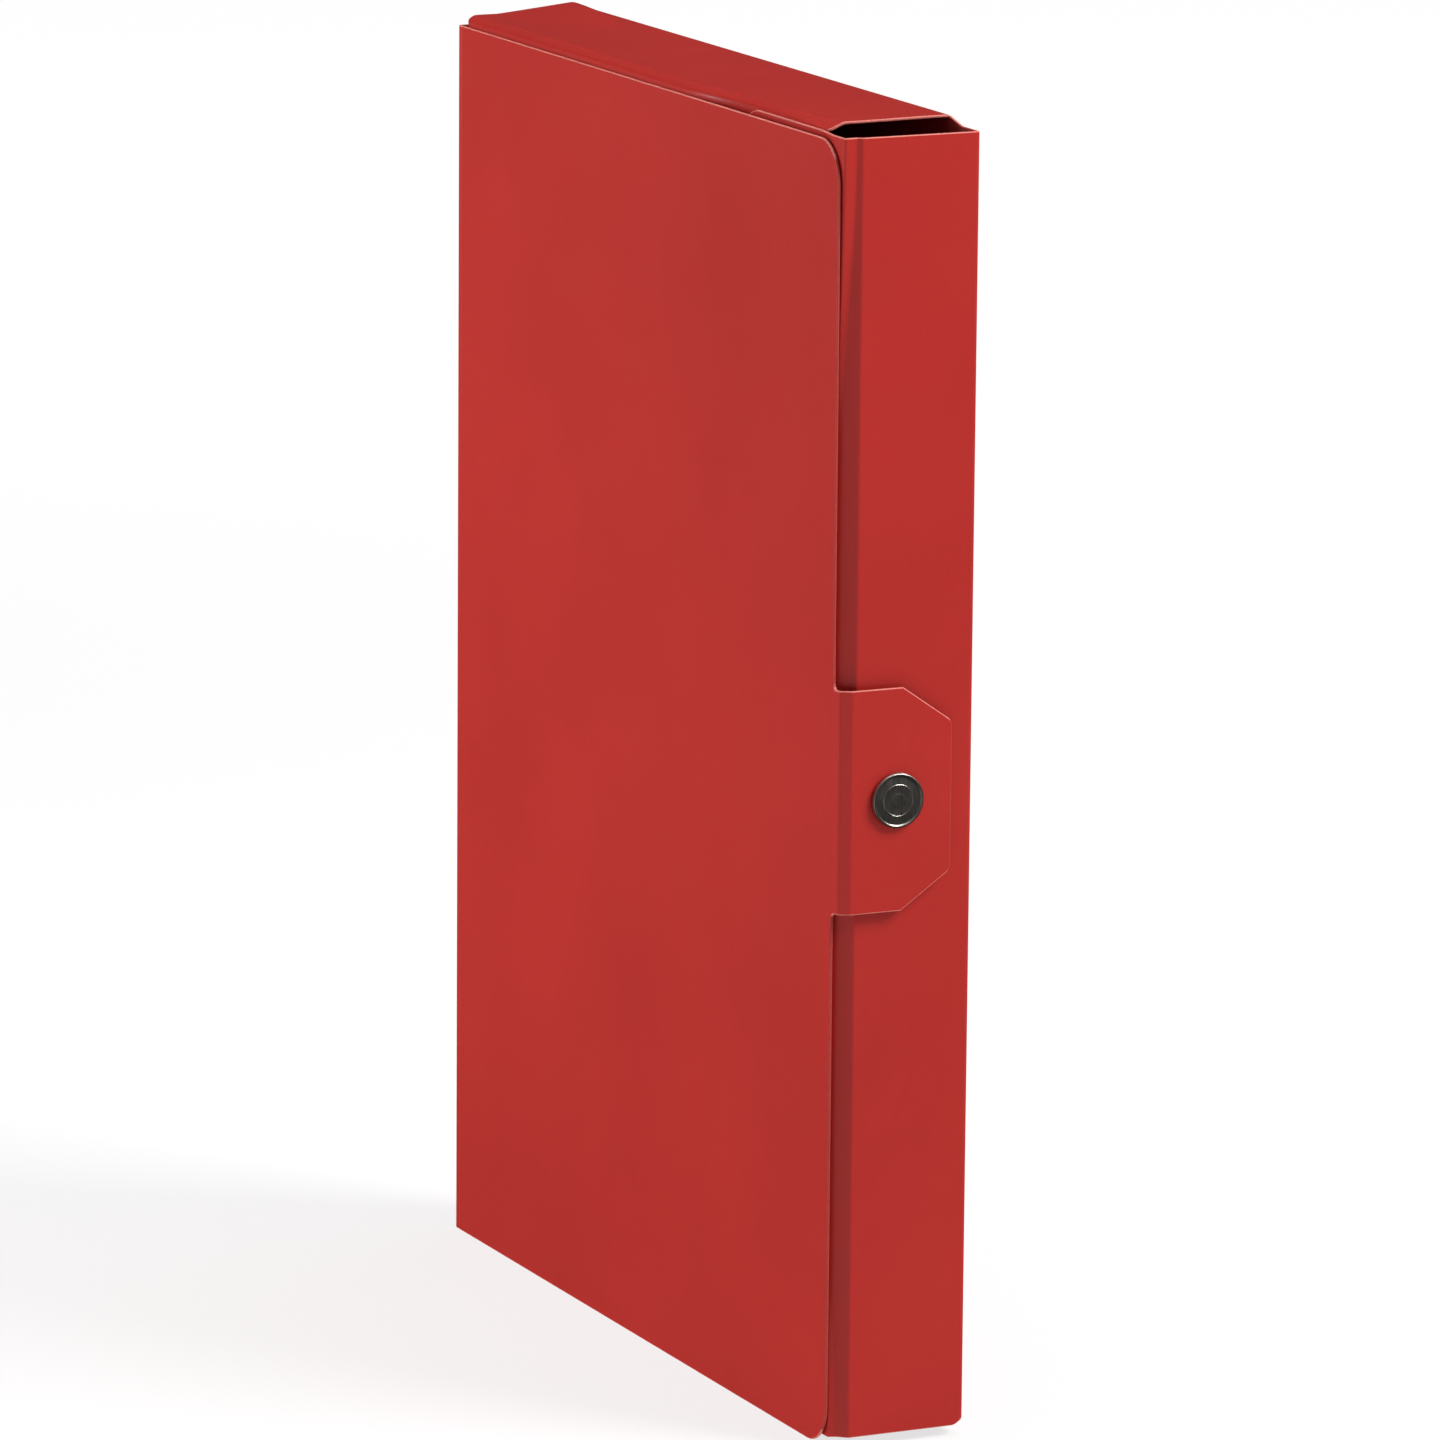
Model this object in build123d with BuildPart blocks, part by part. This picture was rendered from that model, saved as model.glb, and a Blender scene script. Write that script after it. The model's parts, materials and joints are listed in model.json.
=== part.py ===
"""Document box of creased, varnished board, closed by a tongue with a press stud.

Frame: +Z up, +X from the spine to the fore-edge, +Y from the cover to the back.
The origin is the centre of the box's footprint, in the plane it stands on.
All lengths are in millimetres.
"""

import os
from math import radians, tan

from build123d import *

os.makedirs("parts", exist_ok=True)

# ---- Board and box ---------------------------------------------------------
board = 0.8  # thickness of the varnished board
crease_gap = 0.1  # bare length left beside each fold line, so that panels can turn
box_depth = 40.0  # outer face of the cover to outer face of the back
spine_x = -125.0  # outer face of the spine
fore_x = 125.5  # outer face of the fore-edge wall
cover_y = -box_depth / 2
back_y = box_depth / 2

# ---- Heights above the floor -----------------------------------------------
cover_height = 350.0  # cover and spine
body_height = 353.0  # back panel, from the bottom wall to the top wall
fore_bottom = 2.6  # fore-edge wall and its flap sit between the end walls
fore_top = 351.2

# ---- Cover and spine -------------------------------------------------------
hinge_band = 2.5  # creased band between the spine and the cover
cover_edge_x = 123.6  # free edge of the cover
cover_corner = 11.0  # radius of the cover's two free corners

# ---- Fore-edge: wall, bevelled crease, tucked flap --------------------------
bevel = 3.3  # the bevel cuts this much off the corner each way
fore_flap_y = -17.6  # outer face of the tucked flap, behind the cover
fore_flap_end_x = 59.5  # free edge of the tucked flap
fore_flap_corner = 10.0
fore_wall_corner = 2.0  # cut off the lower back corner

# ---- End walls (top and bottom): wall, sloped crease, tucked flap -----------
wall_start_x = -122.0
wall_end_x = 108.0  # leaves an open slot beside the fore-edge wall
wall_front_y = -11.0  # where the end wall starts to slope down
end_flap_y = -16.3  # outer face of the tucked flap
end_slope = 22.5  # degrees that the crease slopes down
end_flap_depth = 62.0
end_flap_inset = 2.0  # the flap is shorter than its wall at each end
spine_side_mitre = 3.0  # straight depth of the flap's end beside the spine
fore_side_mitre = 14.0  # straight depth of the flap's end beside the fore-edge
back_corner_x = 115.5  # the back panel's corner is cut down to the fore-edge's height here

# ---- Tongue ----------------------------------------------------------------
tongue_z = 176.0  # middle of the tongue and of the press stud
tongue_root = 60.0  # height of the tongue where it leaves the cover
tongue_tip = 40.0  # height of its free edge
tongue_x = 128.4  # outer face of the closed tongue
tongue_fold_y = -16.4  # where the tongue turns to lie along the wall
tongue_taper_y = -1.8  # where its edges start to converge
tongue_tip_y = 12.6
tongue_corner = 3.0

# ---- Press stud ------------------------------------------------------------
stud_y = -3.5
cap_radius = 7.45
cap_height = 1.6
metal = 0.35  # sheet metal thickness of the cap
post_radius = 1.6  # the cap's hollow post, through the tongue
post_bore = 1.2
tongue_hole = 1.75
socket_radius = 5.0
socket_depth = 1.5
socket_mouth = 2.5
spring_radius = 2.6  # middle of the ring spring's wire
spring_wire = 0.25  # radius of the wire
stud_base_radius = 4.6
stud_base_thickness = 0.25
stud_neck_radius = 1.65
stud_head_radius = 1.95
stud_height = 1.4
eyelet_radius = 4.2
eyelet_tube = 1.15
wall_hole = 1.25
stud_axis = Axis((0, stud_y, tongue_z), (1, 0, 0))
stud_meridian = Plane(origin=(0, stud_y, tongue_z), x_dir=(1, 0, 0), z_dir=(0, 0, 1))


# ---- Helpers ---------------------------------------------------------------
def board_section(plane, start, end, start_mitre=None, end_mitre=None, side=1):
    """Sketch the cut end of one flat stretch of board, from one outer fold line to the next.

    A mitre is the angle in degrees by which that end leans back from square, on the inner side.
    None is a free edge. side is 1 where the inside of the box is on the left, else -1.
    """
    first = Vector(*start)
    last = Vector(*end)
    along = (last - first).normalized()
    inward = Vector(-along.Y, along.X) * side * board

    def setback(mitre):
        if mitre is None:
            return 0.0, 0.0
        return crease_gap, crease_gap + board * tan(radians(mitre))

    first_outer, first_inner = setback(start_mitre)
    last_outer, last_inner = setback(end_mitre)
    corners = [
        first + along * first_outer,
        last - along * last_outer,
        last - along * last_inner + inward,
        first + along * first_inner + inward,
    ]
    with BuildSketch(plane) as section:
        with BuildLine():
            Polyline(*[(c.X, c.Y) for c in corners], close=True)
        make_face()
    return section.sketch


def half_outline(points):
    """Sketch a closed outline of (x, radius) points beside the press stud's axis."""
    with BuildSketch(stud_meridian) as outline:
        with BuildLine():
            Polyline(*points, close=True)
        make_face()
    return outline.sketch


# ---- Back panel ------------------------------------------------------------
with BuildPart() as back_panel:
    section = board_section(Plane.XY, (spine_x, back_y), (fore_x, back_y), 45, 45, side=-1)
    extrude(section, amount=body_height)
    for end_z, fore_z in ((0, fore_bottom), (body_height, fore_top)):
        with BuildSketch(Plane.XZ.offset(-back_y)):
            with BuildLine():
                Polyline(
                    (wall_end_x, end_z),
                    (fore_x + 1, end_z),
                    (fore_x + 1, fore_z),
                    (back_corner_x, fore_z),
                    close=True,
                )
            make_face()
        extrude(amount=2 * board, both=True, mode=Mode.SUBTRACT)
        lean = board if end_z == 0 else -board
        with BuildSketch(Plane.YZ.offset(wall_start_x - 1)):
            with BuildLine():
                Polyline(
                    (back_y, end_z),
                    (back_y - 2 * board, end_z),
                    (back_y - 2 * board, end_z + 2 * lean),
                    close=True,
                )
            make_face()
        extrude(amount=wall_end_x - wall_start_x + 2, mode=Mode.SUBTRACT)
back_panel.part.label = "back_panel"
export_step(back_panel.part, "parts/back_panel.step")

# ---- Spine, hinge band and cover --------------------------------------------
with BuildPart() as spine_panel:
    section = board_section(Plane.XY, (spine_x, back_y), (spine_x, cover_y), 45, 45)
    extrude(section, amount=cover_height)
spine_panel.part.label = "spine_panel"
export_step(spine_panel.part, "parts/spine_panel.step")

cover_start_x = spine_x + hinge_band
with BuildPart() as cover_hinge_band:
    section = board_section(Plane.XY, (spine_x, cover_y), (cover_start_x, cover_y), 45, 0)
    extrude(section, amount=cover_height)
cover_hinge_band.part.label = "cover_hinge_band"
export_step(cover_hinge_band.part, "parts/cover_hinge_band.step")

with BuildPart() as cover_panel:
    section = board_section(Plane.XY, (cover_start_x, cover_y), (cover_edge_x, cover_y), 0, 0)
    extrude(section, amount=cover_height)
    fillet(cover_panel.edges().filter_by(Axis.Y).group_by(Axis.X)[-1], radius=cover_corner)
cover_panel.part.label = "cover_panel"
export_step(cover_panel.part, "parts/cover_panel.step")

# ---- Tongue -----------------------------------------------------------------
tongue_bottom = Plane.XY.offset(tongue_z - tongue_root / 2)
band_run = Vector(tongue_x - cover_edge_x, tongue_fold_y - cover_y)
band_turn = band_run.get_angle(Vector(1, 0))
tip_turn = 90 - band_turn

with BuildPart() as tongue_crease_band:
    section = board_section(
        tongue_bottom,
        (cover_edge_x, cover_y),
        (tongue_x, tongue_fold_y),
        band_turn,
        tip_turn / 2,
    )
    extrude(section, amount=tongue_root)
tongue_crease_band.part.label = "tongue_crease_band"
export_step(tongue_crease_band.part, "parts/tongue_crease_band.step")

with BuildPart() as closure_tongue:
    section = board_section(
        tongue_bottom,
        (tongue_x, tongue_fold_y),
        (tongue_x, tongue_tip_y),
        tip_turn / 2,
    )
    extrude(section, amount=tongue_root)
    for up in (1, -1):
        with BuildSketch(Plane.YZ.offset(tongue_x - 2 * board)):
            with BuildLine():
                Polyline(
                    (tongue_taper_y, tongue_z + up * tongue_root / 2),
                    (tongue_tip_y, tongue_z + up * tongue_root / 2),
                    (tongue_tip_y, tongue_z + up * tongue_tip / 2),
                    close=True,
                )
            make_face()
        extrude(amount=3 * board, mode=Mode.SUBTRACT)
    fillet(closure_tongue.edges().filter_by(Axis.X).group_by(Axis.Y)[-1], radius=tongue_corner)
    with BuildSketch(Plane.YZ.offset(fore_x - 5)):
        with Locations((stud_y, tongue_z)):
            Circle(tongue_hole)
    extrude(amount=10, mode=Mode.SUBTRACT)
closure_tongue.part.label = "closure_tongue"
export_step(closure_tongue.part, "parts/closure_tongue.step")

# ---- Fore-edge wall, bevel and tucked flap ----------------------------------
fore_plane = Plane.XY.offset(fore_bottom)
fore_height = fore_top - fore_bottom
bevel_corner = (fore_x, fore_flap_y + bevel)
flap_corner = (fore_x - bevel, fore_flap_y)

with BuildPart() as fore_edge_wall:
    section = board_section(fore_plane, (fore_x, back_y), bevel_corner, 45, 22.5, side=-1)
    extrude(section, amount=fore_height)
    with BuildSketch(Plane.YZ.offset(fore_x - 5)):
        with BuildLine():
            Polyline(
                (back_y, fore_bottom),
                (back_y - fore_wall_corner, fore_bottom),
                (back_y, fore_bottom + fore_wall_corner),
                close=True,
            )
        make_face()
    extrude(amount=10, mode=Mode.SUBTRACT)
    with BuildSketch(Plane.YZ.offset(fore_x - 5)):
        with Locations((stud_y, tongue_z)):
            Circle(wall_hole)
    extrude(amount=10, mode=Mode.SUBTRACT)
fore_edge_wall.part.label = "fore_edge_wall"
export_step(fore_edge_wall.part, "parts/fore_edge_wall.step")

with BuildPart() as fore_edge_bevel:
    section = board_section(fore_plane, bevel_corner, flap_corner, 22.5, 22.5, side=-1)
    extrude(section, amount=fore_height)
fore_edge_bevel.part.label = "fore_edge_bevel"
export_step(fore_edge_bevel.part, "parts/fore_edge_bevel.step")

with BuildPart() as fore_edge_flap:
    section = board_section(fore_plane, flap_corner, (fore_flap_end_x, fore_flap_y), 22.5, side=-1)
    extrude(section, amount=fore_height)
    fillet(fore_edge_flap.edges().filter_by(Axis.Y).group_by(Axis.X)[0], radius=fore_flap_corner)
fore_edge_flap.part.label = "fore_edge_flap"
export_step(fore_edge_flap.part, "parts/fore_edge_flap.step")

# ---- End walls: the bottom one mirrors the top one ---------------------------
slope_drop = (wall_front_y - end_flap_y) * tan(radians(end_slope))
end_flap_turn = 90 - end_slope
wall_length = wall_end_x - wall_start_x
flap_start_x = wall_start_x + end_flap_inset
flap_end_x = wall_end_x - end_flap_inset
wall_plane = Plane.YZ.offset(wall_start_x)
flap_plane = Plane.YZ.offset(flap_start_x)

for end in ("top", "bottom"):
    outer_z = body_height if end == "top" else 0.0
    inward_z = -1 if end == "top" else 1
    side = 1 if end == "top" else -1
    slope_z = outer_z + inward_z * slope_drop
    flap_tip_z = slope_z + inward_z * end_flap_depth

    with BuildPart() as end_wall:
        section = board_section(
            wall_plane, (back_y, outer_z), (wall_front_y, outer_z), 45, end_slope / 2, side
        )
        extrude(section, amount=wall_length)
    end_wall.part.label = f"{end}_wall"
    export_step(end_wall.part, f"parts/{end}_wall.step")

    with BuildPart() as end_crease_band:
        section = board_section(
            wall_plane,
            (wall_front_y, outer_z),
            (end_flap_y, slope_z),
            end_slope / 2,
            end_flap_turn / 2,
            side,
        )
        extrude(section, amount=wall_length)
    end_crease_band.part.label = f"{end}_crease_band"
    export_step(end_crease_band.part, f"parts/{end}_crease_band.step")

    with BuildPart() as end_flap:
        section = board_section(
            flap_plane, (end_flap_y, slope_z), (end_flap_y, flap_tip_z), end_flap_turn / 2, None, side
        )
        extrude(section, amount=flap_end_x - flap_start_x)
        mitred_ends = (
            (flap_start_x, 1, spine_side_mitre),
            (flap_end_x, -1, fore_side_mitre),
        )
        for corner_x, inward_x, straight in mitred_ends:
            cut = end_flap_depth - straight
            with BuildSketch(Plane.XZ.offset(-end_flap_y)):
                with BuildLine():
                    Polyline(
                        (corner_x, flap_tip_z),
                        (corner_x + inward_x * cut, flap_tip_z),
                        (corner_x, flap_tip_z - inward_z * cut),
                        close=True,
                    )
                make_face()
            extrude(amount=2 * board, both=True, mode=Mode.SUBTRACT)
    end_flap.part.label = f"{end}_flap"
    export_step(end_flap.part, f"parts/{end}_flap.step")

# ---- Press stud: cap, socket and ring spring on the tongue -------------------
tongue_inner_x = tongue_x - board
rim_x = tongue_x + cap_height
face_x = rim_x - 0.15
flare_x = tongue_inner_x - metal
flare_tip_x = flare_x - 0.25
rim_radius = cap_radius - 0.65

with BuildPart() as snap_cap:
    outline = half_outline(
        [
            (face_x, 0),
            (face_x, rim_radius - 0.5),
            (rim_x, rim_radius),
            (rim_x - 0.25, cap_radius - 0.2),
            (rim_x - 0.7, cap_radius),
            (tongue_x + 0.3, cap_radius - 0.1),
            (tongue_x, cap_radius - 0.4),
            (tongue_x, cap_radius - 0.7),
            (tongue_x + metal, cap_radius - 0.5),
            (rim_x - 0.7, cap_radius - metal),
            (rim_x - 0.45, rim_radius),
            (face_x - metal, rim_radius - 0.6),
            (face_x - metal, post_radius),
            (flare_x, post_radius),
            (flare_x, post_radius + 0.5),
            (flare_tip_x, post_radius + 0.5),
            (flare_tip_x, post_bore),
            (face_x - 0.55, post_bore),
            (face_x - 0.55, 0),
        ]
    )
    revolve(outline, axis=stud_axis)
snap_cap.part.label = "snap_cap"
export_step(snap_cap.part, "parts/snap_cap.step")

socket_mouth_x = tongue_inner_x - socket_depth
with BuildPart() as snap_socket:
    outline = half_outline(
        [
            (tongue_inner_x, tongue_hole),
            (tongue_inner_x, socket_radius),
            (socket_mouth_x + 0.25, socket_radius),
            (socket_mouth_x, socket_radius - 0.25),
            (socket_mouth_x, socket_mouth),
            (socket_mouth_x + 0.25, socket_mouth),
            (socket_mouth_x + 0.25, socket_radius - metal),
            (flare_x, socket_radius - metal),
            (flare_x, tongue_hole),
        ]
    )
    revolve(outline, axis=stud_axis)
snap_socket.part.label = "snap_socket"
export_step(snap_socket.part, "parts/snap_socket.step")

spring_x = (socket_mouth_x + 0.25 + flare_tip_x) / 2
with BuildPart() as snap_ring_spring:
    with BuildSketch(stud_meridian):
        with Locations((spring_x, spring_radius)):
            Circle(spring_wire)
    revolve(axis=stud_axis, revolution_arc=330)
snap_ring_spring.part.label = "snap_ring_spring"
export_step(snap_ring_spring.part, "parts/snap_ring_spring.step")

# ---- Press stud: stud and its eyelet on the fore-edge wall --------------------
base_top_x = fore_x + stud_base_thickness
head_x = fore_x + stud_height
with BuildPart() as snap_stud:
    outline = half_outline(
        [
            (fore_x, wall_hole),
            (fore_x, stud_base_radius),
            (base_top_x, stud_base_radius),
            (base_top_x, stud_neck_radius),
            (base_top_x + 0.45, stud_neck_radius),
            (base_top_x + 0.6, stud_head_radius),
            (head_x - 0.2, stud_head_radius),
            (head_x, stud_head_radius - 0.45),
            (head_x, 0),
            (head_x - 0.25, 0),
            (head_x - 0.25, wall_hole),
        ]
    )
    revolve(outline, axis=stud_axis)
snap_stud.part.label = "snap_stud"
export_step(snap_stud.part, "parts/snap_stud.step")

wall_inner_x = fore_x - board
with BuildPart() as snap_stud_eyelet:
    outline = half_outline(
        [
            (wall_inner_x - metal, 0),
            (wall_inner_x - metal, eyelet_radius - 0.15),
            (wall_inner_x - 0.15, eyelet_radius),
            (wall_inner_x, eyelet_radius),
            (wall_inner_x, eyelet_tube),
            (head_x - 0.35, eyelet_tube),
            (head_x - 0.35, eyelet_tube - 0.4),
            (wall_inner_x - 0.1, eyelet_tube - 0.4),
            (wall_inner_x - 0.1, 0),
        ]
    )
    revolve(outline, axis=stud_axis)
snap_stud_eyelet.part.label = "snap_stud_eyelet"
export_step(snap_stud_eyelet.part, "parts/snap_stud_eyelet.step")
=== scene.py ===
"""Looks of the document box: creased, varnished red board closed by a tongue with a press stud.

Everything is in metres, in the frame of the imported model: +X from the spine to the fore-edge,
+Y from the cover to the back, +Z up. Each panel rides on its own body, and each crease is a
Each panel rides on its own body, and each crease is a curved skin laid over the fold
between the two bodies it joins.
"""

import json
import math

import bmesh
import bpy
from mathutils import Matrix, Vector


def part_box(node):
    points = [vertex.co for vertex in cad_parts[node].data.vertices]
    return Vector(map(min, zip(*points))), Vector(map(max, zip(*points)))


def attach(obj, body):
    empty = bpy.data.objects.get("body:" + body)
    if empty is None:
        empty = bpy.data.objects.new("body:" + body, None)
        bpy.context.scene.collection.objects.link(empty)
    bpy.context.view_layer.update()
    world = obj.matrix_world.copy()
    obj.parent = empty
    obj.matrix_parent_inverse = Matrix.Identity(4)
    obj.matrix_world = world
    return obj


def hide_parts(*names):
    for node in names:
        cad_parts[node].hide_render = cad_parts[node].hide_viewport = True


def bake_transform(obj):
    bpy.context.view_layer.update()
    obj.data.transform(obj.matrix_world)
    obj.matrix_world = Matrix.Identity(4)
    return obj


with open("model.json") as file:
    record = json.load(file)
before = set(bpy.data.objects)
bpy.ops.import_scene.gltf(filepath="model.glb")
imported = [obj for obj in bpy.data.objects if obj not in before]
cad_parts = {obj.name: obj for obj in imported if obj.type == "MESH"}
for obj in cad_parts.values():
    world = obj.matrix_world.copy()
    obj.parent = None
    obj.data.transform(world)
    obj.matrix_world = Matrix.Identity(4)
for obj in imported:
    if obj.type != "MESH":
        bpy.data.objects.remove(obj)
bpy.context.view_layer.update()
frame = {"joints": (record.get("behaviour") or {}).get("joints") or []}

MM = 0.001
X = Vector((1, 0, 0))
Y = Vector((0, 1, 0))
Z = Vector((0, 0, 1))

# ---- Places taken from the frame -------------------------------------------------------
fold = {joint["name"]: Vector(joint["pos_m"]) for joint in frame["joints"]}
back_low, back_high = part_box("back_panel")
cover_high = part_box("cover_panel")[1]
wall_low, wall_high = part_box("fore_edge_wall")
fore_flap_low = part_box("fore_edge_flap")[0]
end_wall_low, end_wall_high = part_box("top_wall")
end_flap_low, end_flap_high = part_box("top_flap")
tongue_low, tongue_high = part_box("closure_tongue")
cap_low, cap_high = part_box("snap_cap")

board = back_high.y - back_low.y
spine_x = fold["spine_hinge"].x
fore_x = fold["fore_wall_hinge"].x
back_y = fold["spine_hinge"].y
cover_y = fold["hinge_band_fold"].y
score_x = fold["cover_hinge"].x
root_x = fold["tongue_root_hinge"].x
tongue_x = fold["tongue_fold"].x
body_height = back_high.z
cover_height = cover_high.z
fore_bottom = wall_low.z
fore_top = wall_high.z
stud_centre = Vector((0, (cap_low.y + cap_high.y) / 2, (cap_low.z + cap_high.z) / 2))

# ---- Creases and cut edges -------------------------------------------------------------
leg = 1.25 * MM  # board taken up by a square fold on each side of its line
slant_leg = 1.6 * MM  # the same for a shallower fold
edge_round = 0.26 * MM  # rounding of a cut edge
edge_middle = 0.29 * edge_round  # how far the rounding is cut away at 45 degrees
edge_margin = 0.18 * MM  # flat border that keeps the rounding's shading off the face
score_depth = 0.16 * MM
score_width = 0.32 * MM
same_point = 0.001 * MM  # points nearer than this are one point
upright = 0.8  # an edge whose height is more than this share of its length is upright

# ---- Outlines --------------------------------------------------------------------------
cover_corner = 11 * MM
fore_flap_corner = 10 * MM
tongue_taper_y = -1.8 * MM
tongue_tip_half = 20 * MM
tongue_corner = 3 * MM
root_flare = 1.4 * MM  # the tongue's edges run into the cover's edge through this radius
root_flat = 0.7 * MM  # the tongue stays in the cover's plane this far, to its first crease
root_rise = Vector((3.3, 0.5, 0)) * MM  # from the cover's edge to the tongue's second crease
root_slope = Vector((1.5, 2.9, 0)).normalized()  # from there the tongue slopes back like this
slope_hold = 0.9 * MM  # length of slope before the bend's own skin starts
bend_run = 1.2 * MM  # length of that skin past the bend
root_turns = (0.4 * MM, 0.6 * MM)  # board on each side of a crease that its rounding takes up
bend_turn = 0.5 * MM
fore_corner_cut = 2.2 * MM  # rounds off the wall's lower back corner
fore_corner_run = 3.5 * MM
back_corner_x = 115.5 * MM  # the back panel is cut down to the fore-edge's height here
back_corner = 4 * MM  # with this radius
end_flap_corner = 3 * MM
end_flap_mitres = (3 * MM, 14 * MM)  # straight depth at the spine side and the fore side
top_fold_rise = 0.3 * MM  # the top wall's back fold springs up this much
top_lift = 2.0 * MM  # and the wall's spine end stands this much proud near that fold
top_lift_run = 45 * MM  # length of wall over which the lift fades out
top_ridge = 5 * MM  # distance of the highest line from the back fold


# ---- Small geometry helpers ------------------------------------------------------------
def smooth(low, high, value):
    """0 below low, 1 above high, and a smooth step between them."""
    share = min(max((value - low) / (high - low), 0), 1)
    return share * share * (3 - 2 * share)


def mix(a, b, share):
    return a + (b - a) * share


def rounded(corners, steps=6):
    """Closed outline of (u, v, radius) corners, with each corner's radius drawn as an arc."""
    points = []
    for i, (u, v, radius) in enumerate(corners):
        here = Vector((u, v))
        if radius == 0:
            points.append(here)
            continue
        to_before = (Vector(corners[i - 1][:2]) - here).normalized()
        to_after = (Vector(corners[(i + 1) % len(corners)][:2]) - here).normalized()
        half_angle = to_before.angle(to_after) / 2
        centre = here + (to_before + to_after).normalized() * radius / math.sin(half_angle)
        first = here + to_before * radius / math.tan(half_angle) - centre
        last = here + to_after * radius / math.tan(half_angle) - centre
        sweep = math.atan2(first.cross(last), first.dot(last))
        for step in range(steps + 1):
            points.append(centre + Matrix.Rotation(sweep * step / steps, 2) @ first)
    return points


def inset_outline(points, gaps):
    """Moves edge i of a counterclockwise outline inwards by gaps[i]."""
    moved = []
    for i, point in enumerate(points):
        before = (point - points[i - 1]).normalized()
        after = (points[(i + 1) % len(points)] - point).normalized()
        gap_before = gaps[i - 1]
        gap_after = gaps[i]
        turn = before.cross(after)
        if abs(turn) < 0.01 or (abs(turn) < 0.6 and gap_before != gap_after):
            inward = Vector((-before.y - after.y, before.x + after.x)).normalized()
            moved.append(point + inward * min(gap_before, gap_after))
        else:
            moved.append(point + (after * gap_before - before * gap_after) / turn)
    return moved


def strip_outline(stations, shares):
    """Outline round (u, low v, high v) stations; shares split the first and the last station."""
    inner = list(shares)[1:-1]
    first_u, first_low, first_high = stations[0]
    last_u, last_low, last_high = stations[-1]
    points = [Vector((u, low)) for u, low, high in stations]
    points += [Vector((last_u, mix(last_low, last_high, share))) for share in inner]
    points += [Vector((u, high)) for u, low, high in reversed(stations)]
    points += [Vector((first_u, mix(first_low, first_high, share))) for share in reversed(inner)]
    return points


def finish_mesh(name, bm, materials, sharp_degrees):
    """Turns a bmesh into a linked object that remembers where its points are at rest."""
    bmesh.ops.remove_doubles(bm, verts=bm.verts, dist=same_point)
    bmesh.ops.recalc_face_normals(bm, faces=bm.faces)
    rest = bm.verts.layers.float_vector.new("rest")
    for vert in bm.verts:
        vert[rest] = vert.co
    for face in bm.faces:
        face.smooth = True
    mesh = bpy.data.meshes.new(name)
    bm.to_mesh(mesh)
    bm.free()
    mesh.set_sharp_from_angle(angle=math.radians(sharp_degrees))
    for material in materials:
        mesh.materials.append(material)
    piece = bpy.data.objects.new(name, mesh)
    bpy.context.scene.collection.objects.link(piece)
    return piece


# ---- Board: one builder for panels and for creases -------------------------------------
# Cut edges take one of two copies of the edge colour: a lighter copy on edges facing up paints
# the highlight they catch from above, and a darker copy on upright edges paints their shade.
FACE, LIT_CUT_EDGE, INNER_FACE, SHADED_UPRIGHT_EDGE = range(4)

# Each ring goes once round the outline: its inset, its depth, and the finish of the strip
# that leads on to the next ring.
EDGE_RINGS = (
    (edge_round + edge_margin, 0, FACE),
    (edge_round, 0, LIT_CUT_EDGE),
    (edge_middle, edge_middle, LIT_CUT_EDGE),
    (0, edge_round, LIT_CUT_EDGE),
    (0, board - edge_round, LIT_CUT_EDGE),
    (edge_middle, board - edge_middle, INNER_FACE),
    (edge_round, board, INNER_FACE),
    (edge_round + edge_margin, board, INNER_FACE),
)


def board_piece(name, outline, place, is_cut, grid=None):
    """A piece of board with rounded cut edges.

    place(u, v, depth) puts a point of the flat outline into space. is_cut(u, v) is true on the
    edges that only meet a crease. grid is (stations, shares) for a face that isn't plane.
    """
    bm = bmesh.new()
    count = len(outline)
    middles = [(outline[i] + outline[(i + 1) % count]) / 2 for i in range(count)]
    free = [0 if is_cut(*middle) else 1 for middle in middles]
    upright_edges = []
    for i in range(count):
        edge = place(*outline[(i + 1) % count], 0) - place(*outline[i], 0)
        upright_edges.append(abs(edge.z) > upright * edge.length)
    rings = []
    for inset, depth, finish in EDGE_RINGS:
        flat = inset_outline(outline, [inset * share for share in free])
        verts = [bm.verts.new(place(point.x, point.y, depth)) for point in flat]
        rings.append((verts, flat, depth, finish))
    for (upper, _, _, finish), (lower, _, _, _) in zip(rings, rings[1:]):
        for i in range(count):
            j = (i + 1) % count
            strip = bm.faces.new((upper[i], lower[i], lower[j], upper[j]))
            # Upright cut edges take the darker edge copy: painted shade.
            in_painted_shade = finish == LIT_CUT_EDGE and upright_edges[i]
            strip.material_index = SHADED_UPRIGHT_EDGE if in_painted_shade else finish
    for verts, flat, depth, finish in (rings[0], rings[-1]):
        if grid is None:
            bm.faces.new(verts).material_index = finish
            continue
        station_count = len(grid[0])
        shares = grid[1]
        span_count = len(shares) - 1
        rows = []
        for i in range(station_count):
            high_i = 2 * station_count + span_count - 2 - i
            row = [verts[i]]
            for k in range(1, span_count):
                if i == 0:
                    row.append(verts[2 * station_count + 2 * span_count - 2 - k])
                elif i == station_count - 1:
                    row.append(verts[i + k])
                else:
                    point = mix(flat[i], flat[high_i], shares[k])
                    row.append(bm.verts.new(place(point.x, point.y, depth)))
            row.append(verts[high_i])
            rows.append(row)
        for row, following in zip(rows, rows[1:]):
            for k in range(span_count):
                corners = (row[k], following[k], following[k + 1], row[k + 1])
                bm.faces.new(corners).material_index = finish
    return finish_mesh(name, bm, board_finishes, 50)


def flat_place(origin, along, axis, inward, lean=None):
    """Flat panel: u along it from origin, v along its fold, with lean(u, v) as extra depth."""

    def place(u, v, depth):
        extra = lean(u, v) if lean else 0
        return origin + along * u + axis * v + inward * (depth + extra)

    return place


def joined_start(u, v):
    """True on a panel's edge at u = 0, where it only meets a crease."""
    return u < same_point


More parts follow.
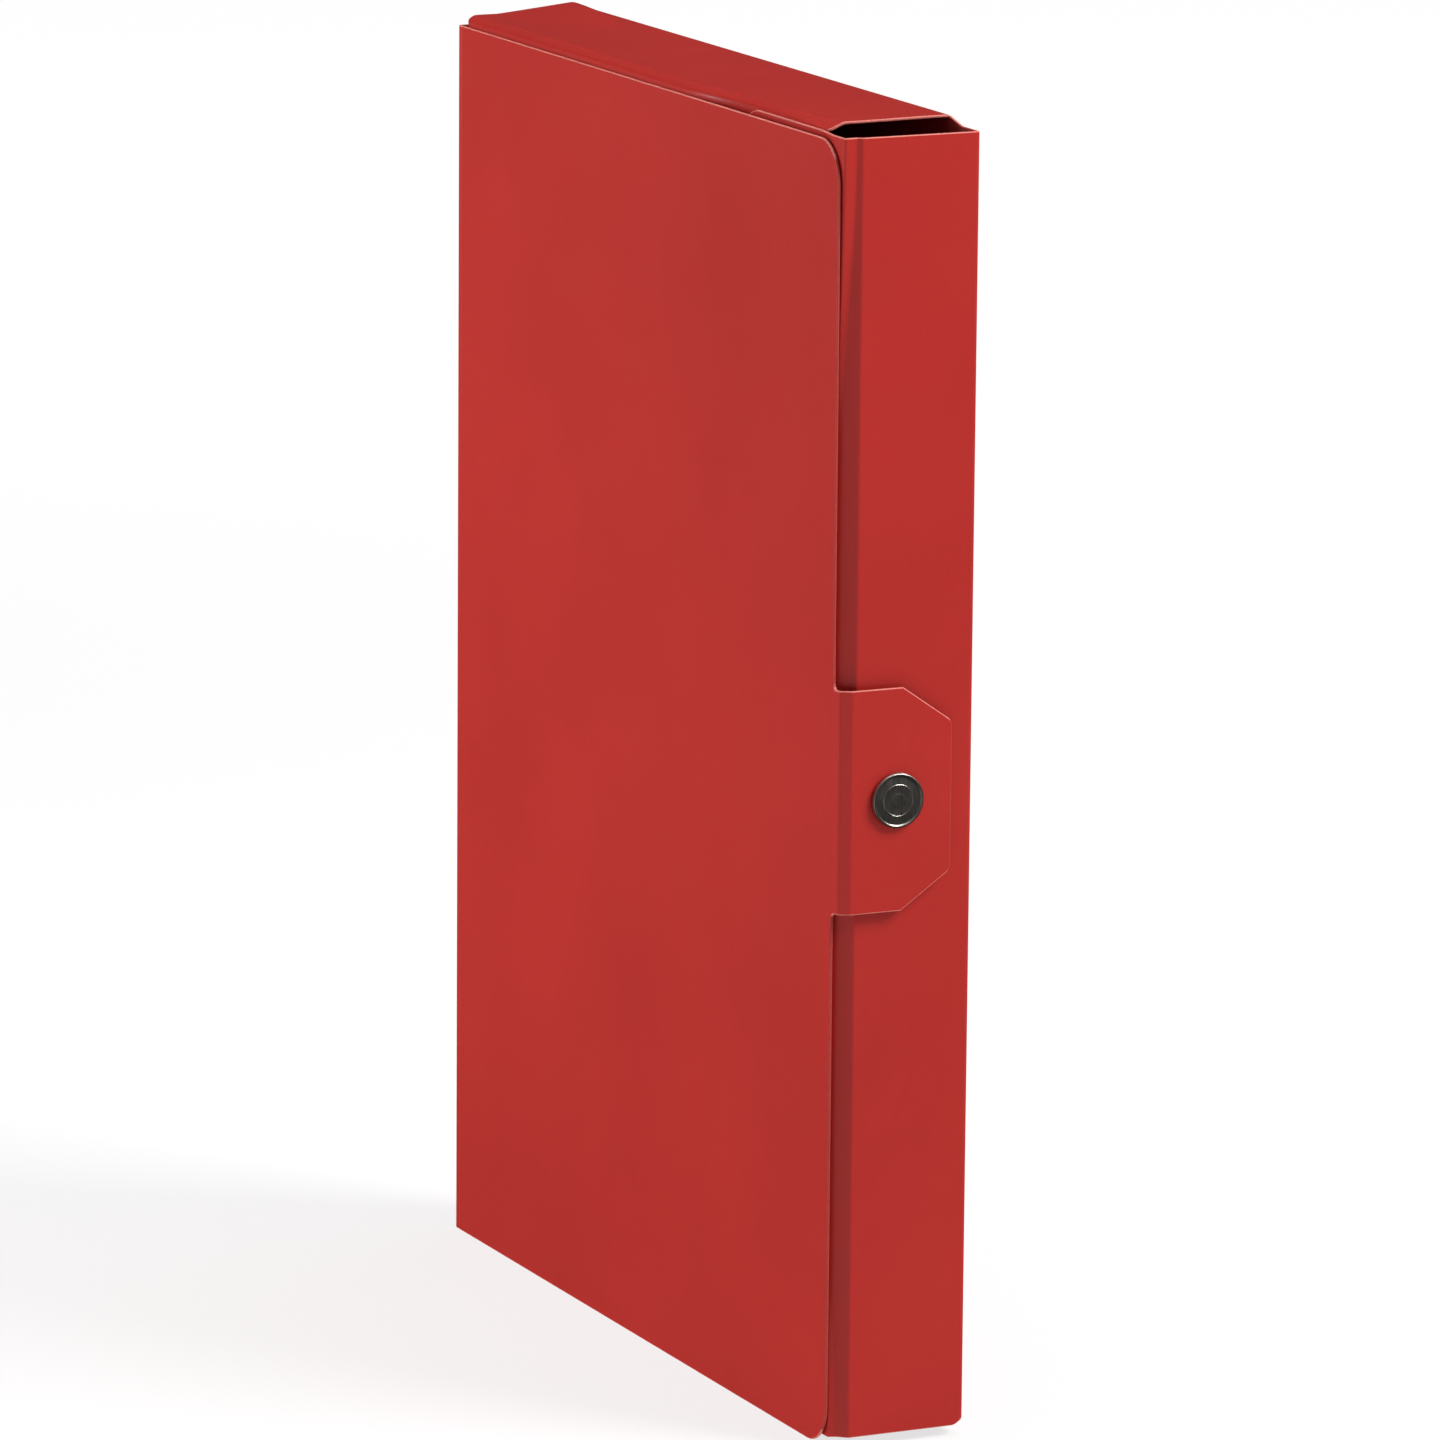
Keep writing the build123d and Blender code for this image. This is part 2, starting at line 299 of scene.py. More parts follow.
def joined_ends(run):
    """Tells the edges at u = 0 and at u = run, where a panel or a crease meets its neighbours."""

    def is_cut(u, v):
        return u < same_point or u > run - same_point

    return is_cut


def corner_stations(width, low, high, radius, steps):
    """Stations that round both corners at a panel's far end."""
    stations = []
    for step in range(1, steps + 1):
        angle = math.pi / 2 * step / steps
        rise = radius * (1 - math.cos(angle))
        stations.append((width - radius * (1 - math.sin(angle)), low + rise, high - rise))
    return stations


def soft_fold(start, corner, end):
    """One soft fold: gives the point and the direction at a share of the way across it."""

    def at(share):
        point = mix(mix(start, corner, share), mix(corner, end, share), share)
        return point, mix(corner - start, end - corner, share)

    return at


RUN_STEPS = 2
TURN_STEPS = 6
STEP_SLACK = 1e-4  # a step this little past a run's or a turn's end still belongs to it


def crisp_steps(fold_count):
    """Steps across this many crisp folds: a run before, between and after them, and the turns."""
    return RUN_STEPS * (fold_count + 1) + TURN_STEPS * fold_count


def crisp_folds(points, turns):
    """Straight runs between points, with each inner point rounded over its own turn."""
    knots = [points[0]]
    for before, here, after, turn in zip(points, points[1:], points[2:], turns):
        knots.append(here + (before - here).normalized() * turn)
        knots.append(here)
        knots.append(here + (after - here).normalized() * turn)
    knots.append(points[-1])
    step_count = crisp_steps(len(turns))

    def at(share):
        step = share * step_count
        first = 0
        while step > RUN_STEPS + STEP_SLACK:
            step -= RUN_STEPS
            if step <= TURN_STEPS + STEP_SLACK:
                return soft_fold(*knots[first + 1 : first + 4])(step / TURN_STEPS)
            step -= TURN_STEPS
            first += 3
        run = knots[first + 1] - knots[first]
        return knots[first] + run * (step / RUN_STEPS), run

    return at


def soft_stops(steps):
    """Shares of the way across a soft fold, closer together near its ends."""
    return [(1 - math.cos(math.pi * i / steps)) / 2 for i in range(steps + 1)]


def crisp_stops(fold_count):
    """Shares of the way across crisp folds, one for each of their steps."""
    steps = crisp_steps(fold_count)
    return [i / steps for i in range(steps + 1)]


def crease_piece(name, line, axis, inward, reach, stops, spans=1, groove=0.0):
    """Skin over a crease.

    line(v) is the fold seen along its axis at height v, and spans cut that height where it
    changes. reach(share) gives the lowest and highest v at that share of the way across, and
    stops are the shares at which the skin has an edge.
    """
    middle_line = line(sum(reach(0.5)) / 2)
    spots = [middle_line(stop)[0] for stop in stops]
    length = sum((after - before).length for before, after in zip(spots, spots[1:]))
    stations = [(share * length, *reach(share)) for share in stops]
    shares = [k / spans for k in range(spans + 1)]
    outline = strip_outline(stations, shares)

    def place(u, v, depth):
        point, direction = line(v)(min(max(u / length, 0), 1))
        normal = axis.cross(direction.normalized())
        if normal.dot(inward) < 0:
            normal = -normal
        sunk = groove * math.exp(-(((u - length / 2) / score_width) ** 2))
        return point + axis * v + normal * (depth + sunk)

    return board_piece(name, outline, place, joined_ends(length), (stations, shares))


def join(piece, first_body, second_body, start, end, *nodes):
    """Fixes a crease skin's shape into its mesh where it lies, and hides the CAD nodes it stands
    for.
    """
    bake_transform(piece)
    if nodes:
        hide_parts(*nodes)


def fix(piece, body, slot, *nodes):
    """Rides a piece on its body in place of its CAD nodes."""
    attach(piece, body)
    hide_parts(*nodes)


# ---- Materials -------------------------------------------------------------------------
def new_material(name):
    material = bpy.data.materials.new(name)
    material.use_nodes = True
    nodes = material.node_tree.nodes
    return material, nodes, material.node_tree.links, nodes["Principled BSDF"]


def add_noise(nodes, links, vector, scale, detail=2.0, roughness=0.5, stretch=(1, 1, 1)):
    """Noise output over a vector in metres, with scale in features per metre."""
    mapping = nodes.new("ShaderNodeMapping")
    mapping.inputs["Scale"].default_value = stretch
    links.new(vector, mapping.inputs["Vector"])
    noise = nodes.new("ShaderNodeTexNoise")
    noise.inputs["Scale"].default_value = scale
    noise.inputs["Detail"].default_value = detail
    noise.inputs["Roughness"].default_value = roughness
    links.new(mapping.outputs["Vector"], noise.inputs["Vector"])
    return noise.outputs["Fac"]


def add_range(nodes, links, value, low, high, from_low=0.3, from_high=0.7):
    """Spreads a noise value over low to high."""
    ranged = nodes.new("ShaderNodeMapRange")
    ranged.inputs["From Min"].default_value = from_low
    ranged.inputs["From Max"].default_value = from_high
    ranged.inputs["To Min"].default_value = low
    ranged.inputs["To Max"].default_value = high
    links.new(value, ranged.inputs["Value"])
    return ranged.outputs["Result"]


def add_tint(nodes, links, base, other, share):
    """Mixes two colours; either may be a plain colour or another node's output."""
    mixed = nodes.new("ShaderNodeMix")
    mixed.data_type = "RGBA"
    for socket, colour in ((mixed.inputs["A"], base), (mixed.inputs["B"], other)):
        if isinstance(colour, tuple):
            socket.default_value = (*colour, 1)
        else:
            links.new(colour, socket)
    links.new(share, mixed.inputs["Factor"])
    return mixed.outputs["Result"]


def add_bump(nodes, links, height, distance, normal=None):
    bump = nodes.new("ShaderNodeBump")
    bump.inputs["Strength"].default_value = 1.0
    bump.inputs["Distance"].default_value = distance
    links.new(height, bump.inputs["Height"])
    if normal is not None:
        links.new(normal, bump.inputs["Normal"])
    return bump.outputs["Normal"]


def rest_position(nodes):
    """Where a point lies with the box closed, so that the pattern stays on the board."""
    attribute = nodes.new("ShaderNodeAttribute")
    attribute.attribute_name = "rest"
    return attribute.outputs["Vector"]


def varnished_face():
    """Dyed red pressboard under a gloss varnish: long fibres, faint mottle, orange peel."""
    material, nodes, links, shader = new_material("varnished_board_face")
    vector = rest_position(nodes)
    blotches = add_range(nodes, links, add_noise(nodes, links, vector, 14, 3), 0, 1)
    fibres = add_noise(nodes, links, vector, 620, 3, 0.6, (1, 1, 0.28))
    colour = add_tint(nodes, links, (0.430, 0.0215, 0.0170), (0.475, 0.0250, 0.0195), blotches)
    darker = add_range(nodes, links, fibres, 0, 0.12, 0.1, 0.9)
    colour = add_tint(nodes, links, colour, (0.30, 0.012, 0.008), darker)
    links.new(colour, shader.inputs["Base Color"])
    gloss = add_noise(nodes, links, vector, 40, 3)
    links.new(add_range(nodes, links, gloss, 0.28, 0.34, 0, 1), shader.inputs["Roughness"])
    shader.inputs["Specular IOR Level"].default_value = 0.25
    shader.inputs["Coat Weight"].default_value = 0.1
    shader.inputs["Coat Roughness"].default_value = 0.12
    peel = add_noise(nodes, links, vector, 210, 2)
    normal = add_bump(nodes, links, peel, 0.000018)
    normal = add_bump(nodes, links, fibres, 0.000004, normal)
    links.new(normal, shader.inputs["Normal"])
    return material


def cut_edge(name, colour_low, colour_high):
    """The board's raw core at its die-cut edges, made in two copies below: a lighter one that
    paints the light caught by edges facing up, and a darker one that paints the shade on upright
    edges.
    """
    material, nodes, links, shader = new_material(name)
    vector = rest_position(nodes)
    fuzz = add_range(nodes, links, add_noise(nodes, links, vector, 1100, 3, 0.7), 0, 1)
    colour = add_tint(nodes, links, colour_low, colour_high, fuzz)
    links.new(colour, shader.inputs["Base Color"])
    shader.inputs["Roughness"].default_value = 0.55
    shader.inputs["Specular IOR Level"].default_value = 0.4
    links.new(add_bump(nodes, links, fuzz, 0.00002), shader.inputs["Normal"])
    return material


def inner_face():
    """The unvarnished side: the same dyed fibres, matt."""
    material, nodes, links, shader = new_material("varnished_board_inside")
    vector = rest_position(nodes)
    fibres = add_noise(nodes, links, vector, 520, 5, 0.7, (1, 1, 0.3))
    fibres = add_range(nodes, links, fibres, 0, 1)
    clouds = add_range(nodes, links, add_noise(nodes, links, vector, 60, 3), 0, 1)
    colour = add_tint(nodes, links, (0.335, 0.034, 0.027), (0.375, 0.042, 0.034), clouds)
    darker = add_range(nodes, links, fibres, 0, 0.35, 0, 1)
    colour = add_tint(nodes, links, colour, (0.25, 0.024, 0.019), darker)
    links.new(colour, shader.inputs["Base Color"])
    shader.inputs["Roughness"].default_value = 0.75
    shader.inputs["Specular IOR Level"].default_value = 0.15
    links.new(add_bump(nodes, links, fibres, 0.00003), shader.inputs["Normal"])
    return material


def nickel(name, colour, roughness):
    """Dark nickel plate with fine polishing marks and handling haze."""
    material, nodes, links, shader = new_material(name)
    coordinates = nodes.new("ShaderNodeTexCoord").outputs["Object"]
    haze = add_range(nodes, links, add_noise(nodes, links, coordinates, 260, 4), 0, 1)
    lighter = tuple(min(1.0, 1.18 * channel) for channel in colour)
    links.new(add_tint(nodes, links, colour, lighter, haze), shader.inputs["Base Color"])
    shader.inputs["Metallic"].default_value = 1.0
    marks = add_noise(nodes, links, coordinates, 2600, 3, 0.6, (1, 1, 0.12))
    uneven = add_range(nodes, links, marks, roughness * 0.8, roughness * 1.25)
    links.new(uneven, shader.inputs["Roughness"])
    links.new(add_bump(nodes, links, marks, 0.000004), shader.inputs["Normal"])
    return material


board_finishes = (  # in the order of the face, the cut edges with painted light, the inner face and the upright cut edges with painted shade
    varnished_face(),
    # lighter copy of the edge colour, for edges facing up: painted highlight
    cut_edge("board_edge_painted_light", (0.60, 0.12, 0.095), (0.74, 0.24, 0.20)),
    inner_face(),
    # darker copy of the edge colour, for upright edges: painted shade
    cut_edge("board_edge_painted_shade", (0.38, 0.030, 0.022), (0.46, 0.048, 0.036)),
)
cap_nickel = nickel("dark_nickel_cap", (0.40, 0.37, 0.335), 0.32)
fitting_nickel = nickel("nickel_fittings", (0.52, 0.50, 0.47), 0.26)


# ---- Back panel ------------------------------------------------------------------------
def fore_corner_rise(distance):
    """How far the lower edge rises near the fore-edge's back fold, to round its corner."""
    return fore_corner_cut * max(0, 1 - distance / fore_corner_run) ** 2


def build_back():
    wall_start = end_wall_low.x
    wall_end = end_wall_high.x
    low_side = [(spine_x + leg, 0, 0), (wall_start, 0, 0), (wall_start, leg, 0)]
    low_side += [(wall_end, leg, 0), (wall_end, 0, 0)]
    low_side += [(back_corner_x, fore_bottom, back_corner)]
    for step in range(5):
        distance = mix(fore_corner_run, leg, step / 4)
        low_side.append((fore_x - distance, fore_bottom + fore_corner_rise(distance), 0))
    high_side = [(fore_x - leg, fore_top, 0), (back_corner_x, fore_top, back_corner)]
    high_side += [(wall_end, body_height, 0), (wall_end, body_height - leg, 0)]
    high_side += [(wall_start, body_height - leg, 0), (wall_start, body_height, 0)]
    high_side += [(spine_x + leg, body_height, 0)]
    place = flat_place(Y * back_y, X, Z, -Y)

    def is_cut(u, v):
        reach = leg + same_point
        at_ends = min(v, body_height - v) < reach
        along_walls = wall_start - same_point < u < wall_end + same_point and at_ends
        return along_walls or u < spine_x + reach or u > fore_x - reach

    piece = board_piece("back_board", rounded(low_side + high_side), place, is_cut)
    fix(piece, "back", "varnished_board", "back_panel")


# ---- Spine and cover -------------------------------------------------------------------
def build_spine():
    start = Vector((spine_x + leg, back_y, 0))
    end = Vector((spine_x, back_y - leg, 0))
    corner = Vector((spine_x, back_y, 0))

    def back_reach(share):
        return 0, mix(body_height, cover_height, smooth(0.25, 0.75, share))

    fold_line = soft_fold(start, corner, end)
    stops = soft_stops(14)
    skin = crease_piece("spine_back_crease", lambda v: fold_line, Z, X - Y, back_reach, stops)
    join(skin, "back", "spine", start, end)

    run = back_y - cover_y - 2 * leg
    outline = rounded([(0, 0, 0), (run, 0, 0), (run, cover_height, 0), (0, cover_height, 0)])
    place = flat_place(end, -Y, Z, X)
    panel = board_piece("spine_board", outline, place, joined_ends(run))
    fix(panel, "spine", "varnished_board", "spine_panel")

    start = Vector((spine_x, cover_y + leg, 0))
    corner = Vector((spine_x, cover_y, 0))
    end = Vector((spine_x + leg, cover_y, 0))

    def cover_reach(share):
        return 0, cover_height

    front_line = soft_fold(start, corner, end)
    skin = crease_piece("spine_front_crease", lambda v: front_line, Z, X + Y, cover_reach, stops)
    join(skin, "spine", "hinge_band", start, end, "cover_hinge_band")

    score_start = end
    score_middle = Vector((score_x, cover_y, 0))
    score_end = Vector((2 * score_x - score_start.x, cover_y, 0))
    score_line = soft_fold(score_start, score_middle, score_end)
    stops = soft_stops(24)
    name = "cover_score"
    skin = crease_piece(name, lambda v: score_line, Z, Y, cover_reach, stops, groove=score_depth)
    join(skin, "hinge_band", "cover", score_start, score_end)
    return score_end


def build_cover(start):
    width = root_x - start.x
    root_low = tongue_low.z - root_flare
    root_high = tongue_high.z + root_flare
    stations = [(mix(0, width - cover_corner, i / 14), 0, cover_height) for i in range(15)]
    stations += corner_stations(width, 0, cover_height, cover_corner, 10)
    last_low = cover_corner
    last_high = cover_height - cover_corner
    levels = [mix(last_low, root_low, k / 12) for k in range(12)]
    levels += [mix(root_low, root_high, k / 6) for k in range(6)]
    levels += [mix(root_high, last_high, k / 12) for k in range(13)]
    shares = [(level - last_low) / (last_high - last_low) for level in levels]
    place = flat_place(start, X, Z, Y)

    def is_cut(u, v):
        return u < same_point or (u > width - same_point and root_low < v < root_high)

    outline = strip_outline(stations, shares)
    piece = board_piece("cover_board", outline, place, is_cut, (stations, shares))
    fix(piece, "cover", "varnished_board", "cover_panel")


# ---- Tongue ----------------------------------------------------------------------------
def build_tongue():
    start = Vector((root_x, cover_y, 0))
    root_bend = start + X * root_flat
    rise_end = start + root_rise
    middle = rise_end + root_slope * slope_hold
    bend_corner = middle + root_slope * ((tongue_x - middle.x) / root_slope.x)
    end = Vector((tongue_x, bend_corner.y + bend_run, 0))
    root_line = crisp_folds((start, root_bend, rise_end, middle), root_turns)
    bend_line = crisp_folds((middle, bend_corner, end), (bend_turn,))

    def root_reach(share):
        distance = (root_line(share)[0] - start).length
        flare = root_flare * max(0, 1 - distance / root_flare) ** 2
        return tongue_low.z - flare, tongue_high.z + flare

    def bend_reach(share):
        return tongue_low.z, tongue_high.z

    inward = Y - X
    stops = crisp_stops(2)
    skin = crease_piece("tongue_root_crease", lambda v: root_line, Z, inward, root_reach, stops)
    join(skin, "cover", "tongue_band", start, middle, "tongue_crease_band")
    stops = crisp_stops(1)
    skin = crease_piece("tongue_bend_crease", lambda v: bend_line, Z, inward, bend_reach, stops)
    join(skin, "tongue_band", "tongue", middle, end)

    run = tongue_high.y - end.y
    taper = tongue_taper_y - end.y
    centre = stud_centre.z
    corners = [
        (0, tongue_low.z, 0),
        (taper, tongue_low.z, 0),
        (run, centre - tongue_tip_half, tongue_corner),
        (run, centre + tongue_tip_half, tongue_corner),
        (taper, tongue_high.z, 0),
        (0, tongue_high.z, 0),
    ]
    place = flat_place(end, Y, Z, -X)
    piece = board_piece("tongue_board", rounded(corners), place, joined_start)
    fix(piece, "tongue", "varnished_board", "closure_tongue")


# ---- Fore-edge: wall, bevelled corner, tucked flap -------------------------------------
bevel_wall_y = fold["fore_bevel_fold"].y + slant_leg
bevel_wall_run = 1.9 * MM  # the wall turns into the bevel over this much board
bevel_flap_x = 123.4 * MM  # and the bevel into the flap from here on
fore_flap_start = 119.2 * MM
fore_flap_y = fold["fore_flap_fold"].y
# Each pair is a place where two creases share the fold, and the same place where it is square.
wall_fold_places = (-14.0 * MM, -13.9 * MM)
bend_places = (Vector((122.22, -17.76, 0)) * MM, Vector((124.6, -15.2, 0)) * MM)
flap_fold_places = (121.4 * MM, 124.8 * MM)
flap_leans = (-1.1 * MM, -1.3 * MM)
flap_lean_run = 13 * MM  # the flap is back in its own plane this far from the fold
wall_fold_turn = 0.45 * MM  # board on each side of a crisp fold that its rounding takes up
bevel_bend_turn = 0.3 * MM
flap_fold_turns = (0.4 * MM, 0.85 * MM)
square_from = 270 * MM  # height above which the corner turns square
square_at = 345 * MM  # height at which it is square
foot_square_from = 50 * MM  # and the same downwards, at the foot
foot_square_at = 4 * MM
foot_square = 0.35  # how square the foot gets
fore_spans = 60  # cuts of the creases and the flap over their height


def corner_pinch(z):
    """1 where only the outer crease is folded, square, and 0 where two creases share the fold."""
    foot = 1 - smooth(foot_square_at, foot_square_from, z)
    return smooth(square_from, square_at, z) + foot_square * foot


def flap_lean(z):
    """How far the flap stands out from its own plane at the fold, up against the cover."""
    return mix(*flap_leans, corner_pinch(z))


def corner_points(z):
    """The corner's folds from above: on the wall, across the bevel, and on to the flap."""
    pinch = corner_pinch(z)
    wall_fold = Vector((fore_x, mix(*wall_fold_places, pinch), 0))
    bend = mix(*bend_places, pinch)
    flap_fold = Vector((mix(*flap_fold_places, pinch), fore_flap_y + flap_lean(z), 0))
    return wall_fold, bend, flap_fold


def wall_side_line(z):
    wall_fold, bend, _ = corner_points(z)
    start = Vector((fore_x, bevel_wall_y, 0))
    return crisp_folds((start, wall_fold, (wall_fold + bend) / 2), (wall_fold_turn,))


def flap_side_line(z):
    wall_fold, bend, flap_fold = corner_points(z)
    end = Vector((fore_flap_start, flap_fold.y, 0))
    points = ((wall_fold + bend) / 2, bend, flap_fold, end)
    return crisp_folds(points, (bevel_bend_turn, mix(*flap_fold_turns, corner_pinch(z))))


def build_fore_edge():
    start = Vector((fore_x - leg, back_y, 0))
    corner = Vector((fore_x, back_y, 0))
    end = Vector((fore_x, back_y - leg, 0))

    def back_reach(share):
        rise = mix(fore_corner_rise(leg), fore_corner_cut, 1 - abs(2 * share - 1))
        return fore_bottom + rise, fore_top

    fold_line = soft_fold(start, corner, end)
    stops = soft_stops(14)
    skin = crease_piece("fore_back_crease", lambda v: fold_line, Z, -X - Y, back_reach, stops)
    join(skin, "back", "fore_wall", start, end)

    run = end.y - bevel_wall_y
    corners = [(fore_corner_run - leg + 10 * same_point, fore_bottom, 0), (run, fore_bottom, 0)]
    corners += [(run, fore_top, 0), (0, fore_top, 0)]
    for step in range(4):
        distance = mix(leg, fore_corner_run, step / 4)
        corners.append((distance - leg, fore_bottom + fore_corner_rise(distance), 0))
    place = flat_place(end, -Y, Z, -X)
    panel = board_piece("fore_wall_board", rounded(corners), place, joined_ends(run))
    fix(panel, "fore_wall", "varnished_board", "fore_edge_wall")

    def reach(share):
        return fore_bottom, fore_top

    inward = Y - X
    stops = crisp_stops(1)
    name = "fore_bevel_wall_side"
    skin = crease_piece(name, wall_side_line, Z, inward, reach, stops, fore_spans)
    start = Vector((fore_x, bevel_wall_y, 0))
    join(skin, "fore_wall", "fore_bevel", start, start - Y * bevel_wall_run, "fore_edge_bevel")
    stops = crisp_stops(2)
    name = "fore_bevel_flap_side"
    skin = crease_piece(name, flap_side_line, Z, inward, reach, stops, fore_spans)
    start = Vector((bevel_flap_x, fore_flap_y, 0))
    join(skin, "fore_bevel", "fore_flap", start, Vector((fore_flap_start, fore_flap_y, 0)))

    width = fore_flap_start - fore_flap_low.x
    straight = width - fore_flap_corner

    def lean(u, v):
        return flap_lean(v) * (1 - smooth(0, flap_lean_run, u))

    stations = [(mix(0, flap_lean_run, i / 8), fore_bottom, fore_top) for i in range(8)]
    stations += [(mix(flap_lean_run, straight, i / 6), fore_bottom, fore_top) for i in range(7)]
    stations += corner_stations(width, fore_bottom, fore_top, fore_flap_corner, 8)
    shares = [k / fore_spans for k in range(fore_spans + 1)]
    place = flat_place(Vector((fore_flap_start, fore_flap_y, 0)), -X, Z, Y, lean)
    outline = strip_outline(stations, shares)
    panel = board_piece("fore_flap_board", outline, place, joined_start, (stations, shares))
    fix(panel, "fore_flap", "varnished_board", "fore_edge_flap")


# ---- End walls: top and bottom ---------------------------------------------------------
end_fold_back_from = 25 * MM  # the folds lie forward, by the cover, up to here along the wall
end_fold_back_at = 56 * MM  # and in the flap's own plane from here on
end_fold_forward = 2.6 * MM
end_fold_wide_run = 22 * MM  # the folds widen over this much of the wall before the slot
tight_slope_reach = 2.5 * MM  # the slope's size from front to back where the folds are tight
tight_slope_drop = 1.5 * MM  # and its drop
slope_turn = 0.9 * MM  # board on each side of a fold that its rounding takes up
flap_turn = 1.0 * MM
flap_shift_run = 32 * MM  # the flap is back in its own plane this far from the fold
fold_gap = 0.1 * MM  # the modelled flap starts this far past its fold
crease_spans = 80  # lengthwise cuts of a crease that changes along the wall
wall_lines = 24  # cuts of the wall from its back fold to its slope
wall_spans = 40  # and along it
wall_crowding = 1.4  # more than 1 crowds those cuts towards the back fold and the spine


def wall_reach(share):
    return end_wall_low.x, end_wall_high.x


def build_end_wall(end_name, edge_z, inward):
    """One end wall and its fold to the back; inward points into the box."""
    wall_start, wall_end = wall_reach(0)
    rise, lift = (top_fold_rise, top_lift) if end_name == "top" else (0, 0)
    start = Vector((0, back_y, edge_z)) + inward * leg
    corner = Vector((0, back_y, edge_z)) - inward * rise
    end = corner - Y * leg
    back_line = soft_fold(start, corner, end)
    stops = soft_stops(14)
    name = f"{end_name}_back_crease"
    skin = crease_piece(name, lambda v: back_line, X, inward - Y, wall_reach, stops)
    join(skin, "back", f"{end_name}_wall", start, end)

    run = end.y - fold[f"{end_name}_slope_fold"].y - slant_leg

    def wall_lean(u, v):
        near_spine = 1 - smooth(0, top_lift_run, v - wall_start)
        ridge = smooth(0, top_ridge, u) * (1 - max(0, u - top_ridge) / (run - top_ridge))
        return rise * smooth(0, run, u) - lift * near_spine * ridge

    lines = [(i / wall_lines) ** wall_crowding for i in range(wall_lines + 1)]
    stations = [(run * line, wall_start, wall_end) for line in lines]
    shares = [(k / wall_spans) ** wall_crowding for k in range(wall_spans + 1)]
    place = flat_place(end, -Y, X, inward, wall_lean)
    outline = strip_outline(stations, shares)
    grid = (stations, shares)
    panel = board_piece(f"{end_name}_wall_board", outline, place, joined_ends(run), grid)
    fix(panel, f"{end_name}_wall", "varnished_board", f"{end_name}_wall")


def build_end_flap(end_name, edge_z, inward):
    """The sloped crease in front of an end wall, and the flap tucked behind the cover."""
    wall_start, wall_end = wall_reach(0)
    slope_line = fold[f"{end_name}_slope_fold"]
    flap_line = fold[f"{end_name}_flap_fold"]
    full_drop = abs(edge_z - flap_line.z)
    slope_start = Vector((0, slope_line.y + slant_leg, edge_z))

    def fold_places(x):
        """The flap's two folds at x: tight and forward by the cover, and wide at the slot."""
        forward = 1 - smooth(end_fold_back_from, end_fold_back_at, x)
        tight = 1 - smooth(wall_end - end_fold_wide_run, wall_end, x)
        flap_y = flap_line.y - end_fold_forward * forward
        slope_y = flap_y + mix(slope_line.y - flap_line.y, tight_slope_reach, tight)
        drop = mix(full_drop, tight_slope_drop, tight)
        return Vector((0, slope_y, edge_z)), Vector((0, flap_y, edge_z)) + inward * drop

    def slope_fold(x):
        slope_corner, flap_corner = fold_places(x)
        middle = (slope_corner + flap_corner) / 2
        return crisp_folds((slope_start, slope_corner, middle), (slope_turn,))

    def flap_fold(x):
        slope_corner, flap_corner = fold_places(x)
        points = ((slope_corner + flap_corner) / 2, flap_corner, flap_corner + inward * slant_leg)
        return crisp_folds(points, (flap_turn,))

    def flap_reach(share):
        inset = smooth(0, 1, share)
        return mix(wall_start, end_flap_low.x, inset), mix(wall_end, end_flap_high.x, inset)

    stops = crisp_stops(1)
    name = f"{end_name}_slope_crease"
    skin = crease_piece(name, slope_fold, X, inward + Y, wall_reach, stops, crease_spans)
    slope_end = slope_start - Y * 2 * slant_leg
    band = f"{end_name}_crease_band"
    join(skin, f"{end_name}_wall", f"{end_name}_slope", slope_start, slope_end, band)
    name = f"{end_name}_flap_crease"
    skin = crease_piece(name, flap_fold, X, inward + Y, flap_reach, stops, crease_spans)
    flap_middle = Vector((0, (slope_line.y + flap_line.y) / 2, (edge_z + flap_line.z) / 2))
    flap_start = Vector((0, flap_line.y, flap_line.z)) + inward * slant_leg
    join(skin, f"{end_name}_slope", f"{end_name}_flap", flap_middle, flap_start)

    depth = end_flap_high.z - end_flap_low.z + fold_gap
    tip = depth - slant_leg
    spine_mitre, fore_mitre = end_flap_mitres
    levels = [0, spine_mitre / 2, spine_mitre, 6 * MM, 10 * MM]
    levels += [fore_mitre, 20 * MM, 27 * MM, 34 * MM, 42 * MM]
    levels += [tip - end_flap_corner * (1 - math.sin(math.pi / 2 * k / 6)) for k in range(7)]
    stations = []
    for level in levels:
        spine_share = max(0, level - spine_mitre) / (tip - spine_mitre)
        fore_share = max(0, level - fore_mitre) / (tip - fore_mitre)
        low = end_flap_low.x + (depth - spine_mitre) * spine_share
        high = end_flap_high.x - (depth - fore_mitre) * fore_share
        past = min(1, max(0, 1 - (tip - level) / end_flap_corner))
        curl = end_flap_corner * (1 - math.sqrt(1 - past * past))
        stations.append((level, low + curl, high - curl))
    shares = [k / 40 for k in range(41)]

    def flap_place(u, v, depth):
        _, flap_corner = fold_places(v)
        shift = flap_corner + inward * slant_leg - flap_start
        fading = 1 - smooth(0, flap_shift_run, u)
        return flap_start + shift * fading + inward * u + X * v + Y * depth

    outline = strip_outline(stations, shares)
    grid = (stations, shares)
    name = f"{end_name}_flap_board"
    panel = board_piece(name, outline, flap_place, joined_start, grid)
    fix(panel, f"{end_name}_flap", "varnished_board", f"{end_name}_flap")


# ---- Press stud ------------------------------------------------------------------------
spring_sweep = 330  # degrees of the ring spring's open ring
spring_steps = 66
wire_sides = 12


